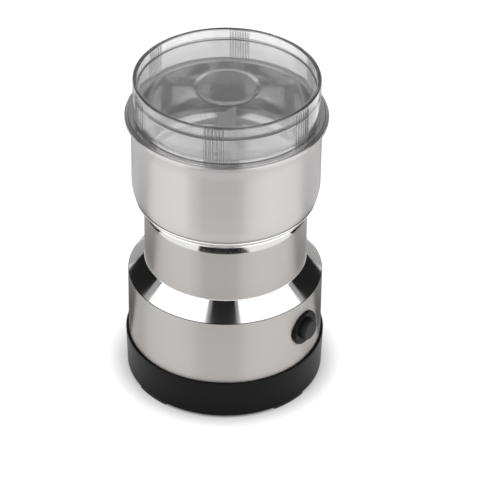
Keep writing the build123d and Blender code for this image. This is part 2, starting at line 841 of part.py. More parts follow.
# Upper bracket: a bar that holds the top bearing, on two standoffs
with BuildPart() as upper_bracket:
    with BuildSketch(Plane.XY.offset(upper_plate_bottom)):
        SlotOverall(stack_width, bracket_width)
    extrude(amount=bracket_wall)
    with BuildSketch(Plane.XY.offset(stack_top)):
        with Locations((bolt_circle_radius, 0), (-bolt_circle_radius, 0)):
            Circle(standoff_radius)
    extrude(amount=upper_standoff_height)
    with BuildSketch(Plane.XY.offset(upper_plate_bottom)):
        Circle(bearing_radius + bearing_boss_wall)
    extrude(amount=upper_boss_height)
    with BuildSketch(Plane.XY.offset(upper_plate_bottom)):
        Circle(bearing_radius + screw_gap)
    extrude(amount=upper_boss_height, mode=Mode.SUBTRACT)
    with BuildSketch(Plane.XY.offset(stack_top)):
        with Locations((bolt_circle_radius, 0), (-bolt_circle_radius, 0)):
            Circle(bolt_radius + snug_gap)
    extrude(amount=upper_standoff_height + bracket_wall, mode=Mode.SUBTRACT)
upper_bracket.part.label = "upper_bracket"
export_step(upper_bracket.part, "parts/upper_bracket.step")

# Lower bracket: a cross with the bottom bearing, two standoffs and two pads for the brush holders
holder_outer_height = brush_height + 2 * (holder_wall + snug_gap)
holder_outer_width = brush_width + 2 * (holder_wall + snug_gap)
holder_bottom = commutator_middle - holder_outer_height / 2
holder_end = holder_start_radius + holder_length
holder_middle = (holder_start_radius + holder_end) / 2
with BuildPart() as lower_bracket:
    with BuildSketch(Plane.XY.offset(lower_plate_bottom)):
        SlotOverall(stack_width, bracket_width)
        Rectangle(holder_outer_width, 2 * holder_end)
    extrude(amount=bracket_wall)
    with BuildSketch(Plane.XY.offset(lower_plate_top)):
        with Locations((bolt_circle_radius, 0), (-bolt_circle_radius, 0)):
            Circle(standoff_radius)
    extrude(amount=lower_standoff_height)
    with BuildSketch(Plane.XY.offset(lower_plate_top)):
        with Locations((0, holder_middle), (0, -holder_middle)):
            Rectangle(holder_outer_width, holder_pad_length)
    extrude(amount=holder_bottom - lower_plate_top)
    with BuildSketch(Plane.XY.offset(lower_plate_bottom)):
        Circle(bearing_radius + bearing_boss_wall)
    extrude(amount=bearing_height)
    with BuildSketch(Plane.XY.offset(lower_plate_bottom)):
        Circle(bearing_radius + screw_gap)
    extrude(amount=bearing_height, mode=Mode.SUBTRACT)
    with BuildSketch(Plane.XY.offset(lower_plate_bottom)):
        with Locations((bolt_circle_radius, 0), (-bolt_circle_radius, 0)):
            Circle(bolt_radius + snug_gap)
    extrude(amount=lower_standoff_height + bracket_wall, mode=Mode.SUBTRACT)
lower_bracket.part.label = "lower_bracket"
export_step(lower_bracket.part, "parts/lower_bracket.step")

# Sintered bearings, one in each bracket
for name, level in (("upper_bearing", upper_plate_bottom), ("lower_bearing", lower_plate_bottom)):
    with BuildPart() as bearing:
        with BuildSketch(Plane.XY.offset(level)):
            Circle(bearing_radius)
            Circle(shaft_radius + running_gap, mode=Mode.SUBTRACT)
        extrude(amount=bearing_height)
    bearing.part.label = name
    export_step(bearing.part, f"parts/{name}.step")

# Two bolts pass through brackets and stack, up into the carrier's sleeve
motor_bolts = screws(bolt_circle_radius, [90, 270], lower_plate_bottom, bolt_head_radius, bolt_head_height,
                     bolt_radius, motor_top + bolt_grip_length - lower_plate_bottom)
motor_bolts.label = "motor_bolts"
export_step(motor_bolts, "parts/motor_bolts.step")

# Brush holders, carbon brushes and their springs, one set at the front and one at the back
brush_start = commutator_radius + brush_gap
brush_end = brush_start + brush_length
with BuildPart() as brush_holders:
    for azimuth in (0, 180):
        with BuildSketch(outward_plane(azimuth, holder_start_radius, commutator_middle)):
            Rectangle(holder_outer_width, holder_outer_height)
        extrude(amount=holder_length)
        with BuildSketch(outward_plane(azimuth, holder_start_radius, commutator_middle)):
            Rectangle(brush_width + 2 * snug_gap, brush_height + 2 * snug_gap)
        extrude(amount=holder_length - holder_wall, mode=Mode.SUBTRACT)
brush_holders.part.label = "brush_holders"
export_step(brush_holders.part, "parts/brush_holders.step")

with BuildPart() as carbon_brushes:
    for azimuth in (0, 180):
        with BuildSketch(outward_plane(azimuth, brush_start, commutator_middle)):
            Rectangle(brush_width, brush_height)
        extrude(amount=brush_length)
carbon_brushes.part.label = "carbon_brushes"
export_step(carbon_brushes.part, "parts/carbon_brushes.step")

brush_spring_room = holder_end - holder_wall - brush_end
brush_springs = Compound(label="brush_springs", children=[
    spring(outward_plane(azimuth, brush_end, commutator_middle), brush_spring_radius,
           brush_spring_wire, brush_spring_turns, brush_spring_room)
    for azimuth in (0, 180)
])
export_step(brush_springs, "parts/brush_springs.step")

# Button bezel: a flange shaped to the body's wall, with a barrel that guides the button
bezel_face = body_radius + bezel_proud_height
barrel_inner_end = bezel_face - barrel_length
with BuildPart() as button_bezel:
    with BuildSketch(outward_plane(button_azimuth, body_radius - bezel_proud_height, button_z)):
        Circle(bezel_radius)
    extrude(amount=2 * bezel_proud_height)
    fillet(button_bezel.edges().sort_by(SortBy.DISTANCE)[-1:], bezel_round_radius)
    with BuildSketch(Plane.XY.offset(base_top)):
        Circle(body_radius + screw_gap)
    extrude(amount=body_height, mode=Mode.SUBTRACT)
    with BuildSketch(outward_plane(button_azimuth, barrel_inner_end, button_z)):
        Circle(barrel_radius)
    extrude(amount=barrel_length - bezel_round_radius)
    with BuildSketch(outward_plane(button_azimuth, barrel_inner_end + barrel_end_wall, button_z)):
        Circle(button_radius + slip_gap)
    extrude(amount=barrel_length, mode=Mode.SUBTRACT)
    with BuildSketch(outward_plane(button_azimuth, barrel_inner_end, button_z)):
        Circle(stem_radius + slip_gap)
    extrude(amount=barrel_end_wall, mode=Mode.SUBTRACT)
button_bezel.part.label = "button_bezel"
export_step(button_bezel.part, "parts/button_bezel.step")

# Bezel nut: clamps the bezel from inside the wall
nut_outer_face = math.sqrt(body_inner ** 2 - bezel_nut_radius ** 2) - snug_gap
with BuildPart() as bezel_nut:
    with BuildSketch(outward_plane(button_azimuth, nut_outer_face, button_z)):
        RegularPolygon(bezel_nut_radius, 6)
        Circle(barrel_radius + screw_gap, mode=Mode.SUBTRACT)
    extrude(amount=-bezel_nut_wall)
bezel_nut.part.label = "bezel_nut"
export_step(bezel_nut.part, "parts/bezel_nut.step")

# Button: a rounded cap that slides in the barrel, with a stem that reaches the switch
button_face = body_radius + button_proud_height
spring_seat = barrel_inner_end + barrel_end_wall
cap_bottom = spring_seat + button_spring_length
plate_face = barrel_inner_end - slip_gap
plunger_tip = plate_face + button_travel_length
with BuildPart() as button:
    with BuildSketch(outward_plane(button_azimuth, cap_bottom, button_z)):
        Circle(button_radius)
    extrude(amount=button_face - cap_bottom)
    fillet(button.edges().filter_by(GeomType.CIRCLE).sort_by(SortBy.DISTANCE)[-1:], button_round_radius)
    with BuildSketch(outward_plane(button_azimuth, plunger_tip + snug_gap, button_z)):
        Circle(stem_radius)
    extrude(amount=cap_bottom - plunger_tip - snug_gap)
button.part.label = "button"
export_step(button.part, "parts/button.step")

# Button spring, round the stem between barrel end and cap
button_spring = spring(outward_plane(button_azimuth, spring_seat, button_z), button_spring_radius,
                       button_spring_wire, button_spring_turns, button_spring_length)
button_spring.label = "button_spring"
export_step(button_spring, "parts/button_spring.step")

# Switch bracket: a plate behind the barrel with a foot on the base's deck
plate_back = plate_face - switch_plate
plate_width = switch_width + 2 * switch_plate_margin
plate_top = button_z + switch_height / 2 + switch_plate_margin
with BuildPart() as switch_bracket:
    with BuildSketch(outward_plane(button_azimuth, plate_back, (deck_top + plate_top) / 2)):
        Rectangle(plate_width, plate_top - deck_top)
    extrude(amount=switch_plate)
    with BuildSketch(outward_plane(button_azimuth, plate_back, deck_top + switch_plate / 2)):
        Rectangle(plate_width, switch_plate)
    extrude(amount=bracket_foot_length)
    with BuildSketch(outward_plane(button_azimuth, plate_back, button_z)):
        Circle(stem_radius + slip_gap)
    extrude(amount=switch_plate, mode=Mode.SUBTRACT)
switch_bracket.part.label = "switch_bracket"
export_step(switch_bracket.part, "parts/switch_bracket.step")

# Push switch: a block on the plate's inner face, bored for its plunger
with BuildPart() as push_switch:
    with BuildSketch(outward_plane(button_azimuth, plate_back - switch_length, button_z)):
        Rectangle(switch_width, switch_height)
    extrude(amount=switch_length)
    with BuildSketch(outward_plane(button_azimuth, plate_back, button_z)):
        Circle(plunger_radius + slip_gap)
    extrude(amount=-plunger_length - button_travel_length, mode=Mode.SUBTRACT)
push_switch.part.label = "push_switch"
export_step(push_switch.part, "parts/push_switch.step")

with BuildPart() as switch_plunger:
    with BuildSketch(outward_plane(button_azimuth, plunger_tip, button_z)):
        Circle(plunger_radius)
    extrude(amount=-plunger_length)
switch_plunger.part.label = "switch_plunger"
export_step(switch_plunger.part, "parts/switch_plunger.step")

# Two tabs under the switch
with BuildPart() as switch_terminals:
    for step in (-terminal_spacing / 2, terminal_spacing / 2):
        terminal_middle = plate_back - switch_length / 2 + step
        terminal_z = button_z - (switch_height + terminal_length) / 2
        with BuildSketch(outward_plane(button_azimuth, terminal_middle, terminal_z)):
            Rectangle(terminal_width, terminal_length)
        extrude(amount=terminal_wall / 2, both=True)
switch_terminals.part.label = "switch_terminals"
export_step(switch_terminals.part, "parts/switch_terminals.step")

# Cord gland and its nut in the back of the base ring
gland_seat = base_inner_radius + gland_skin
with BuildPart() as cord_gland:
    with BuildSketch(outward_plane(180, gland_seat, gland_z)):
        Circle(gland_flange_radius)
    extrude(amount=gland_flange_wall)
    with BuildSketch(outward_plane(180, gland_seat, gland_z)):
        Circle(gland_radius)
    extrude(amount=-gland_length)
    with BuildSketch(outward_plane(180, gland_seat - gland_length, gland_z)):
        Circle(gland_bore_radius)
    extrude(amount=gland_length + gland_flange_wall, mode=Mode.SUBTRACT)
cord_gland.part.label = "cord_gland"
export_step(cord_gland.part, "parts/cord_gland.step")

gland_nut_face = math.sqrt(base_inner_radius ** 2 - gland_flange_radius ** 2) - snug_gap
with BuildPart() as gland_nut:
    with BuildSketch(outward_plane(180, gland_nut_face, gland_z)):
        RegularPolygon(gland_flange_radius, 6)
        Circle(gland_radius + screw_gap, mode=Mode.SUBTRACT)
    extrude(amount=-gland_nut_wall)
gland_nut.part.label = "gland_nut"
export_step(gland_nut.part, "parts/gland_nut.step")
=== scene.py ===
# Electric coffee grinder: brushed and polished steel over a black base, under a clear lid.
# Metres, +Z up, the front is -Y. Azimuths run in degrees from the front towards +X.
import math

import bpy
import numpy as np
from mathutils import Matrix


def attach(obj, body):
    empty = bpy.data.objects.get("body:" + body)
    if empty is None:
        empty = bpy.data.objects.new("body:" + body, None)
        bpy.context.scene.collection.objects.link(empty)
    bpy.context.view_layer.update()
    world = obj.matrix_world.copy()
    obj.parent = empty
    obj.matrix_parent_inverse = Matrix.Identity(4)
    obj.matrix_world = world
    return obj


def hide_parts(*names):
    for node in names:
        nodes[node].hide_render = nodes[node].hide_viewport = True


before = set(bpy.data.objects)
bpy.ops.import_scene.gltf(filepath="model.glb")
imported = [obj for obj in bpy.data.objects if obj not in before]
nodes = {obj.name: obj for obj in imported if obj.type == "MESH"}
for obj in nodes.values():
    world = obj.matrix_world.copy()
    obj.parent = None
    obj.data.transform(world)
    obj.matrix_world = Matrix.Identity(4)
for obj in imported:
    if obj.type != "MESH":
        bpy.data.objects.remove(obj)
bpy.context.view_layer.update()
mm = 0.001


# Base ring: a black skirt moulded in one piece, with a groove in its deck that holds the steel body.
# The mould is spark eroded, so the plastic has a fine even grain, and its rim is rounded over.
class Socket:
    """A node's output that takes part in sums: each operator adds the Math node of its name."""

    def __init__(self, finish, output):
        self.finish = finish
        self.output = output

    def __add__(self, other):
        return self.finish.math("ADD", self, other)

    def __radd__(self, other):
        return self.finish.math("ADD", other, self)

    def __sub__(self, other):
        return self.finish.math("SUBTRACT", self, other)

    def __rsub__(self, other):
        return self.finish.math("SUBTRACT", other, self)

    def __mul__(self, other):
        return self.finish.math("MULTIPLY", self, other)

    def __rmul__(self, other):
        return self.finish.math("MULTIPLY", other, self)

    def __neg__(self):
        return self.finish.math("MULTIPLY", self, -1.0)

    def __abs__(self):
        return self.finish.math("ABSOLUTE", self)

    def __lt__(self, other):
        return self.finish.math("LESS_THAN", self, other)

    def __gt__(self, other):
        return self.finish.math("GREATER_THAN", self, other)


class Finish:
    """A material under construction. Its node method adds a node of any kind."""

    def __init__(self, name):
        self.material = bpy.data.materials.new(name)
        self.material.use_nodes = True
        self.tree = self.material.node_tree
        self.tree.nodes.clear()

    def node(self, kind, settings=None, sockets=None, out=0):
        """A node of this kind: first its settings, then a value or a link for each socket named."""
        made = self.tree.nodes.new(kind)
        for key, value in (settings or {}).items():
            setattr(made, key, value)
        for key, value in (sockets or {}).items():
            if isinstance(value, Socket):
                self.tree.links.new(value.output, made.inputs[key])
            else:
                made.inputs[key].default_value = value
        return Socket(self, made.outputs[out] if made.outputs else None)

    def math(self, operation, *values):
        """The Math node of this operation on these values."""
        return self.node("ShaderNodeMath", {"operation": operation}, dict(enumerate(values)))

    def places(self, scale=(1, 1, 1)):
        """Object coordinates, stretched by these scales per metre."""
        coordinates = self.node("ShaderNodeTexCoord", out="Object")
        return self.node("ShaderNodeMapping", {}, {"Vector": coordinates, "Scale": scale})

    def along(self, axis):
        """The Object coordinate along X, Y or Z, in metres."""
        return self.node("ShaderNodeSeparateXYZ", {}, {"Vector": self.places()}, out=axis)

    def noise(self, scale, detail=2.0, roughness=0.5):
        """Noise whose grains are 1 / scale metres along each axis."""
        return self.node("ShaderNodeTexNoise", {}, {"Vector": self.places(scale), "Scale": 1.0,
                                                    "Detail": detail, "Roughness": roughness})

    def tint(self, factor, dark, light):
        """A colour between these two, by this factor. Either may be a link or three numbers."""
        dark, light = [colour if isinstance(colour, Socket) else (*colour, 1) for colour in (dark, light)]
        return self.node("ShaderNodeMix", {"data_type": "RGBA"}, {0: factor, 6: dark, 7: light}, out=2)

    def bump(self, height, strength, depth):
        """The normal over this height map, whose full range is this many metres deep."""
        return self.node("ShaderNodeBump", {}, {"Height": height, "Strength": strength, "Distance": depth})

    def surface(self, sockets):
        """Ends the material with a Principled surface that has these socket values."""
        shader = self.node("ShaderNodeBsdfPrincipled", {}, sockets)
        self.node("ShaderNodeOutputMaterial", {}, {"Surface": shader})
        return self.material


def moulded(name, dark, light, rough, grain=2600, depth=0.012 * mm, gloss=0.2):
    """Moulded plastic: an even spark-eroded grain, slow changes of gloss, a colour that barely varies."""
    plastic = Finish(name)
    texture = plastic.noise((grain, grain, grain), 1.0)
    handled = plastic.noise((38, 38, 55), 3.0)
    return plastic.surface({
        "Base Color": plastic.tint(handled, dark, light),
        "Roughness": rough - 0.05 + 0.08 * handled + 0.04 * texture,
        "Normal": plastic.bump(texture, 0.5, depth),
        "Specular IOR Level": gloss,
    })


def dress(material, *names):
    """Puts this material on CAD nodes."""
    for name in names:
        nodes[name].material_slots[0].material = material


base_black = moulded("base_black", (0.0045, 0.0045, 0.0046), (0.0065, 0.0065, 0.0067), 0.36, gloss=0.09)
dress(base_black, "base_ring")

# Bottom cover: a black plate with air slots, let into the base's floor and never polished. Its grain is
# coarser than the skirt's, because no one sees it. The plastic nuts of the cord gland and of the button's
# bezel and the case of the switch are moulded in the same black.
cover_black = moulded("cover_black", (0.010, 0.010, 0.010), (0.014, 0.014, 0.014), 0.5, grain=1500)
dress(cover_black, "bottom_cover", "gland_nut", "bezel_nut", "push_switch")

# Rubber feet: four arc pads pinned under the base's edge, cut from soft black rubber, which is matt,
# porous and a little grey with dust. The cord's gland and the shaft's seal are rubber too.
rubber = Finish("foot_rubber")
rubber_dust = rubber.noise((260, 260, 260), 4.0, 0.6)
rubber_pores = rubber.noise((3200, 3200, 3200), 2.0)
foot_rubber = rubber.surface({
    "Base Color": rubber.tint(rubber_dust, (0.010, 0.010, 0.010), (0.020, 0.020, 0.019)),
    "Roughness": 0.72 + 0.12 * rubber_dust,
    "Normal": rubber.bump(rubber_pores, 0.6, 0.02 * mm),
})
dress(foot_rubber, "rubber_feet", "cord_gland", "shaft_seal")


# Screws and bolts: cross-headed, cold-formed and zinc plated, in the cover, the carrier and the motor.
# Plating leaves them bright with soft mottling over fine turned rings. The motor's shaft looks alike.
def plain_metal(name, dark, light, rough, scale=(400, 400, 400), depth=0.004 * mm):
    """A machined or plated metal: mottled colour and gloss, with fine tool marks in its bump."""
    metal = Finish(name)
    mottle = metal.noise(scale, 3.0, 0.6)
    marks = metal.noise((300, 300, 7000), 1.0)
    return metal.surface({
        "Base Color": metal.tint(mottle, dark, light),
        "Metallic": 1.0,
        "Roughness": rough - 0.06 + 0.12 * mottle,
        "Normal": metal.bump(marks, 0.4, depth),
    })


screw_zinc = plain_metal("screw_zinc", (0.50, 0.50, 0.50), (0.62, 0.62, 0.61), 0.32)
dress(screw_zinc, "base_screws", "carrier_screws", "motor_bolts", "motor_shaft")


# Steel body: one drawn shell, with a straight wall, a sloping shoulder, a neck and a flange at its top.
# Wall and neck are brushed on a lathe, so their hairlines run round the axis. The shoulder is buffed, best
# towards the neck, and a fine dark line of painted shade runs along its foot.
deck_top = 19.9 * mm
shoulder_foot = 57.7 * mm
neck_foot = 66.5 * mm
neck_top = 94.3 * mm
body_radius = 48.6 * mm
neck_radius = 40.3 * mm
throat_radius = 30.0 * mm
shoulder_bulge = 0.05 * mm
shoulder_round = 0.7 * mm
shade_line_half_width = 0.35 * mm
shell_wall = 0.8 * mm
neck_bend = 0.4 * mm
button_azimuth = math.radians(54)
button_z = 41.7 * mm
barrel_hole = 7.7 * mm
body_turns = 288
run_step = 2.0 * mm
# The colour of the painted shade line along the shoulder's foot
painted_shade_brown = (0.10, 0.095, 0.09)


def curve_rows(points):
    """Points of a curve as rows (r, z, round) of an outline, with rounds of 0, since it has no corners."""
    return np.c_[points, np.zeros(len(points))]


def bowed(start, end, rise, count):
    """Outline rows between start and end on a shallow arc: the chord, plus 4 rise s (1 - s) to its right."""
    start, end = np.array(start), np.array(end)
    share = np.linspace(0, 1, count + 2)[1:-1, None]
    chord = end - start
    side = np.array([chord[1], -chord[0]]) / np.hypot(*chord)
    return curve_rows(start + share * chord + 4 * rise * share * (1 - share) * side)


def eased(outline, steps=7, guard=0.06 * mm):
    """The (r, z) points of an open outline of rows (r, z, round), with each corner rounded to its radius.

    With w half the angle between a corner's two sides, the arc's centre lies round / sin(w) along their
    bisector, and its ends lie round / tan(w) along the sides. A guard point beyond each end keeps the flats
    flat. A corner whose round is 0 stays one point.
    """
    outline = np.array(outline, float)
    path, rounds = outline[:, :2], outline[1:-1, 2:]
    inner = path[1:-1]
    back = path[:-2] - inner
    on = path[2:] - inner
    back /= np.linalg.norm(back, axis=1, keepdims=True)
    on /= np.linalg.norm(on, axis=1, keepdims=True)
    half = np.arccos(np.clip((back * on).sum(1, keepdims=True), -1, 1)) / 2
    reach = rounds / np.tan(half)
    middle = back + on
    middle /= np.linalg.norm(middle, axis=1, keepdims=True) + 1e-12
    centre = inner + middle * rounds / np.sin(half)
    first = (inner + back * reach - centre)[:, None]
    last = (inner + on * reach - centre)[:, None]
    turn = (math.pi - 2 * half)[:, None] + 1e-9
    share = np.linspace(0, 1, steps)[None, :, None]
    swing = np.sin((1 - share) * turn) * first + np.sin(share * turn) * last
    arc = centre[:, None] + swing / np.sin(turn)
    lead = (inner + back * (reach + guard))[:, None]
    tail = (inner + on * (reach + guard))[:, None]
    rows = np.concatenate([lead, arc, tail], axis=1)
    rows[:, 0] = np.where(rounds > 0, rows[:, 0], inner)
    keep = np.ones(rows.shape[:2], bool)
    keep[:, 1:] = rounds > 0
    return np.concatenate([path[:1], rows[keep], path[-1:]])


def spaced(path, step):
    """The same path with its long runs divided, so that no two points lie further apart than step."""
    gaps = np.linalg.norm(np.diff(path, axis=0), axis=1)
    counts = np.maximum(np.ceil(gaps / step).astype(int), 1)
    run = np.repeat(np.arange(len(gaps)), counts)
    first = np.repeat(np.cumsum(counts) - counts, counts)
    share = ((np.arange(counts.sum()) - first) / np.repeat(counts, counts))[:, None]
    return np.concatenate([path[run] * (1 - share) + path[run + 1] * share, path[-1:]])


def inward(path, wall):
    """The path's other side: each point moves by the wall's thickness to the left of its way."""
    along = np.gradient(path, axis=0)
    along /= np.linalg.norm(along, axis=1, keepdims=True)
    return path + wall * np.stack([-along[:, 1], along[:, 0]], axis=1)


def full_turn(count):
    """This many equal angles round the axis, from the front on."""
    return np.arange(count) * 2 * math.pi / count


def round_axis(path, angles):
    """The path carried round the axis: at angle t a point (r, z) lies at (r sin t, -r cos t, z)."""
    t = angles[:, None]
    r, z = path[:, 0], path[:, 1]
    return np.stack([r * np.sin(t), -r * np.cos(t), np.broadcast_to(z, (len(t), len(r)))], axis=-1)


def grid_quads(rows, columns, wrap_rows, wrap_columns):
    """The four-sided faces of a grid of points, numbered row by row, joined round where it wraps."""
    i = np.arange(rows if wrap_rows else rows - 1)[:, None]
    j = np.arange(columns if wrap_columns else columns - 1)[None, :]
    next_i, next_j = (i + 1) % rows, (j + 1) % columns
    corners = [i * columns + j, next_i * columns + j, next_i * columns + next_j, i * columns + next_j]
    return np.stack(np.broadcast_arrays(*corners), axis=-1).reshape(-1, 4)


def walled(quads, count):
    """Faces of a closed wall: the outer sheet, the inner one turned over, and a rim along each open edge.

    An edge is open where only one face uses it. The inner sheet's points follow the outer's, which are this
    many, in the same order.
    """
    edges = np.stack([quads, np.roll(quads, -1, axis=1)], axis=-1).reshape(-1, 2)
    _, place, uses = np.unique(np.sort(edges, axis=1), axis=0, return_inverse=True, return_counts=True)
    rim = edges[uses[place.reshape(-1)] == 1]
    rims = np.stack([rim[:, 1], rim[:, 0], rim[:, 0] + count, rim[:, 1] + count], axis=1)
    return np.concatenate([quads, quads[:, ::-1] + count, rims])


def from_button(points):
    """How far points lie from the button's middle: round the body's wall and up it."""
    angle = np.arctan2(points[..., 0], -points[..., 1])
    return (angle - button_azimuth) * body_radius, points[..., 2] - button_z


def drawn_to_hole(points):
    """The wall's points, moved so that a square of its grid becomes the round hole of the bezel's barrel.

    With m the larger of a point's two distances from the button and e their hypotenuse, it goes to its place
    times m / e at the hole's edge, and stays where it is from twice as far out.
    """
    across, up = from_button(points)
    square = np.maximum(abs(across), abs(up))
    length = np.hypot(across, up) + 1e-12
    share = np.clip(2 - square / barrel_hole, 0, 1) * (points[..., 2] < shoulder_foot)
    change = 1 + share * (square / length - 1)
    radius = np.hypot(points[..., 0], points[..., 1])
    moved = button_azimuth + across * change / body_radius
    there = np.stack([radius * np.sin(moved), -radius * np.cos(moved), button_z + up * change], axis=-1)
    return np.where((share > 0)[..., None], there, points)


def new_object(name, points, faces, materials):
    """An object with a mesh of these points and faces, and with these materials."""
    mesh = bpy.data.meshes.new(name)
    mesh.from_pydata(points.reshape(-1, 3).tolist(), [], faces)
    for material in materials:
        mesh.materials.append(material)
    made = bpy.data.objects.new(name, mesh)
    bpy.context.scene.collection.objects.link(made)
    return made


def piece(name, points, faces, materials, body, node, face_materials=None):
    """A finished piece: shaded smooth, riding on its body, in the place of a CAD node."""
    made = new_object(name, points, faces, materials)
    polygons = made.data.polygons
    polygons.foreach_set("use_smooth", np.ones(len(polygons), bool))
    if face_materials is not None:
        polygons.foreach_set("material_index", np.asarray(face_materials, np.int32))
    made.data.update()
    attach(made, body)
    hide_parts(node)


def brushed(name, dark, light, rough):
    """Lathe-brushed steel: hairlines round the axis that spread the light up and down, and soft clouds."""
    steel = Finish(name)
    hairs = steel.noise((45, 45, 7500), 2.0, 0.6)
    bands = steel.noise((9, 9, 700), 3.0, 0.6)
    clouds = steel.noise((32, 32, 32), 3.0)
    return steel.surface({
        "Base Color": steel.tint(0.6 * bands + 0.4 * clouds, dark, light),
        "Metallic": 1.0,
        "Roughness": rough - 0.05 + 0.05 * hairs + 0.05 * clouds,
        "Anisotropic": 1.0,
        "Anisotropic Rotation": 0.25,
        "Normal": steel.bump(hairs, 0.25, 0.004 * mm),
    })


def polished(name, dark, light, rough, shade_line=None, worn=None):
    """Buffed steel: nearly a mirror, with a faint haze in patches and hairlines left by the mop.

    Along its shade line, given as a height and half a width, a dark line of painted shade is laid on the
    steel.
    Where worn gives a lower height, an upper height and a change, it is that much rougher at the lower one,
    and less so further up.
    """
    steel = Finish(name)
    haze = steel.noise((60, 60, 60), 4.0, 0.6)
    mop = steel.noise((120, 120, 4000), 2.0)
    colour = steel.tint(haze, dark, light)
    roughness = rough + 0.05 * haze
    # Painted shade: a dark brown line along the given height
    if shade_line:
        colour = steel.tint(steel.math("COMPARE", steel.along("Z"), *shade_line), colour, painted_shade_brown)
    if worn:
        low, high, change = worn
        roughness = roughness + (high - steel.along("Z")) * (change / (high - low))
    return steel.surface({
        "Base Color": colour,
        "Metallic": 1.0,
        "Roughness": roughness,
        "Normal": steel.bump(mop, 0.12, 0.0015 * mm),
    })


body_path = spaced(eased([
    (body_radius, deck_top, 0),
    (body_radius, shoulder_foot, shoulder_round),
    *bowed((body_radius, shoulder_foot), (neck_radius, neck_foot), shoulder_bulge, count=13),
    (neck_radius, neck_foot, shoulder_round),
    (neck_radius, neck_top, neck_bend),
    (throat_radius, neck_top, 0)]), run_step)
body_angles = full_turn(body_turns)
body_grid = round_axis(body_path, body_angles)
body_quads = grid_quads(body_turns, len(body_path), True, False)
quad_middles = body_grid.reshape(-1, 3)[body_quads].mean(axis=1)
quad_across, quad_up = from_button(quad_middles)
outside_hole = np.maximum(abs(quad_across), abs(quad_up)) > barrel_hole
body_quads = body_quads[outside_hole | (quad_middles[:, 2] > shoulder_foot)]
body_outer = drawn_to_hole(body_grid)
body_inner = drawn_to_hole(round_axis(inward(body_path, shell_wall), body_angles))
body_points = np.concatenate([body_outer.reshape(-1, 3), body_inner.reshape(-1, 3)])
body_faces = walled(body_quads, len(body_points) // 2)
face_heights = body_points[body_faces].mean(axis=1)[:, 2]
shoulder_faces = (face_heights > shoulder_foot) & (face_heights < neck_foot)
# The body's steel is the cup's, with its colour painted darker as shade
body_steel_painted_darker = brushed("body_steel_painted_darker", (0.456, 0.439, 0.426), (0.490, 0.473, 0.459), 0.345)
# The shoulder carries a fine dark line of painted shade along its foot
shoulder_steel = polished("shoulder_steel", (0.68, 0.675, 0.67), (0.74, 0.735, 0.73), 0.03,
                          shade_line=(shoulder_foot, shade_line_half_width), worn=(shoulder_foot, neck_foot, 0.07))
piece("steel_body", body_points, body_faces.tolist(), [body_steel_painted_darker, shoulder_steel],
      "housing", "lower_housing", shoulder_faces)


# Waist ring: a solid turned ring between neck and cup. Its cone flares out to a fine crease and a rolled
# lip, with a shadow groove above it. It is buffed to a mirror, so it shows the shoulder below it.
cup_bottom = 104.5 * mm
waist_groove = 1.1 * mm
waist_bore = 37.6 * mm
waist_bore_round = 0.3 * mm
waist_start = 39.5 * mm
waist_fine_round = 0.15 * mm
cone_hollow = 0.03 * mm
crease_radius = 42.9 * mm
crease_z = 99.9 * mm
crease_depth = 0.35 * mm
crease_middle = 0.3 * mm
crease_height = 0.5 * mm
crease_step = 0.05 * mm
crease_round = 0.1 * mm
waist_lip_radius = 44.65 * mm
waist_lip_height = 0.5 * mm
waist_lip_round = 0.4 * mm
waist_lip_top = cup_bottom - waist_groove
groove_radius = 43.2 * mm


def turned(name, outline, material, node, turns=256):
    """A ring of the housing, turned from an outline that runs with the metal on its left.

    The outline starts and ends at one point, which lies on a flat, so its last point is left out.
    """
    path = spaced(eased(outline), run_step)[:-1]
    faces = grid_quads(turns, len(path), True, True).tolist()
    piece(name, round_axis(path, full_turn(turns)), faces, [material], "housing", node)


mirror_steel = polished("mirror_steel", (0.93, 0.925, 0.92), (0.96, 0.955, 0.95), 0.03)
turned("waist_ring_turned", [
    (waist_start, neck_top, 0),
    (neck_radius, neck_top, waist_fine_round),
    *bowed((neck_radius, neck_top), (crease_radius, crease_z), -cone_hollow, count=7),
    (crease_radius, crease_z, crease_round),
    (crease_radius - crease_depth, crease_z + crease_middle, crease_round),
    (crease_radius + crease_step, crease_z + crease_height, crease_round),
    (waist_lip_radius, waist_lip_top - waist_lip_height, waist_lip_round),
    (waist_lip_radius, waist_lip_top, waist_fine_round),
    (groove_radius, waist_lip_top, waist_fine_round),
    (groove_radius, cup_bottom, waist_fine_round),
    (waist_bore, cup_bottom, waist_bore_round),
    (waist_bore, neck_top, waist_bore_round),
    (waist_start, neck_top, 0)], mirror_steel, "waist_ring")


# Cup: a drawn steel cup with a softly rounded foot; its wall flares at the top into a rolled lip.
# Brushed on a lathe like the body and of the same steel; the body's colour is painted darker than the cup's
# as shade.
cup_top = 150.0 * mm
cup_radius = 46.3 * mm
cup_round = 18.0 * mm
cup_foot_inset = 1.5 * mm
cup_foot_radius = cup_radius - cup_foot_inset
cup_foot_round = 0.4 * mm
cup_round_top = cup_bottom + math.sqrt(cup_round ** 2 - (cup_round - cup_foot_inset) ** 2)
cup_foot_angle = -math.degrees(math.acos((cup_round - cup_foot_inset) / cup_round))
cup_start = 40.0 * mm
cup_inner_radius = cup_radius - shell_wall
cup_inner_bottom = cup_bottom + shell_wall
cup_floor_round = 0.5 * mm
throat_round = 0.2 * mm
lip_radius = 49.4 * mm
lip_height = 3.0 * mm
lip_bottom = cup_top - lip_height
lip_round = 1.0 * mm
flare_height = 7.0 * mm
flare_round = 0.5 * mm
bowl_wall = 0.9 * mm
lip_seat = cup_top - bowl_wall
lip_seat_radius = 47.7 * mm
seat_edge_round = 0.3 * mm
seat_corner_round = 0.2 * mm
cup_turns = 288


def arc_points(centre, radius, first, last, count):
    """Points on a circle between two angles in degrees."""
    angle = np.radians(np.linspace(first, last, count))
    return np.stack([centre[0] + radius * np.cos(angle), centre[1] + radius * np.sin(angle)], axis=1)


